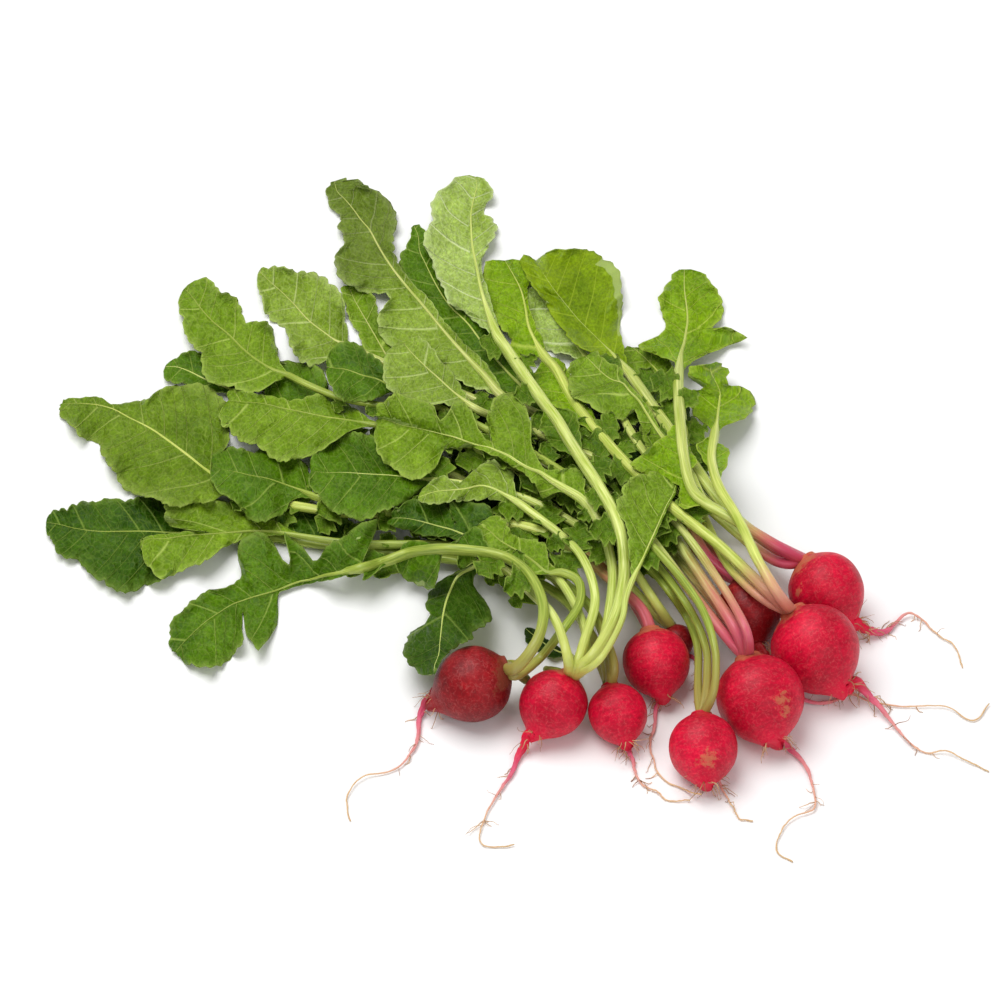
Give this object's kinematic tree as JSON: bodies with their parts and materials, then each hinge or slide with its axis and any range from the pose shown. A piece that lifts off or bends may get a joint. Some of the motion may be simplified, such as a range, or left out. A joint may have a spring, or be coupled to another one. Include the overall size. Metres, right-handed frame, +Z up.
{
  "type": "bunch of radishes",
  "caption": "Bunch of round red radishes lying on its side, with curling taproots and long lobed leaves fanned out over one another.",
  "frame": {"origin": "centre of the small flat that the largest front radish rests on, at table height", "axes": "+Z up, +X to the right seen from the bulbs' side, +Y from the bulbs towards the leaf tips"},
  "size_m": [0.3124, 0.3292, 0.0396],
  "materials": {
    "skin_red": "thin satin crimson skin, pink to cream at the root",
    "skin_dark": "thin satin maroon skin with brown soil scuffs",
    "leaf_green": "soft satin leaf with pale veins and a pale green stalk"
  },
  "bodies": {
    "root": {"radish_01": "skin_dark", "radish_02": "skin_red", "radish_03": "skin_red", "radish_04": "skin_red", "radish_05": "skin_red", "radish_06": "skin_red", "radish_07": "skin_red", "radish_08": "skin_red", "radish_09": "skin_dark", "radish_10": "skin_dark", "leaf_10_a": "leaf_green", "leaf_10_b": "leaf_green", "leaf_10_c": "leaf_green", "leaf_1_a": "leaf_green", "leaf_1_b": "leaf_green", "leaf_2_a": "leaf_green", "leaf_2_b": "leaf_green", "leaf_2_c": "leaf_green", "leaf_2_d": "leaf_green", "leaf_2_e": "leaf_green", "leaf_2_f": "leaf_green", "leaf_2_g": "leaf_green", "leaf_3_a": "leaf_green", "leaf_3_b": "leaf_green", "leaf_3_c": "leaf_green", "leaf_3_d": "leaf_green", "leaf_4_a": "leaf_green", "leaf_4_b": "leaf_green", "leaf_5_a": "leaf_green", "leaf_5_b": "leaf_green", "leaf_5_c": "leaf_green", "leaf_6_a": "leaf_green", "leaf_6_b": "leaf_green", "leaf_6_c": "leaf_green", "leaf_6_e": "leaf_green", "leaf_6_f": "leaf_green", "leaf_7_c": "leaf_green", "leaf_7_d": "leaf_green", "leaf_7_e": "leaf_green", "leaf_8_b": "leaf_green", "leaf_8_c": "leaf_green", "leaf_8_d": "leaf_green", "leaf_8_e": "leaf_green", "leaf_9_a": "leaf_green", "leaf_9_b": "leaf_green", "leaf_9_d": "leaf_green"}
  },
  "joints": []
}
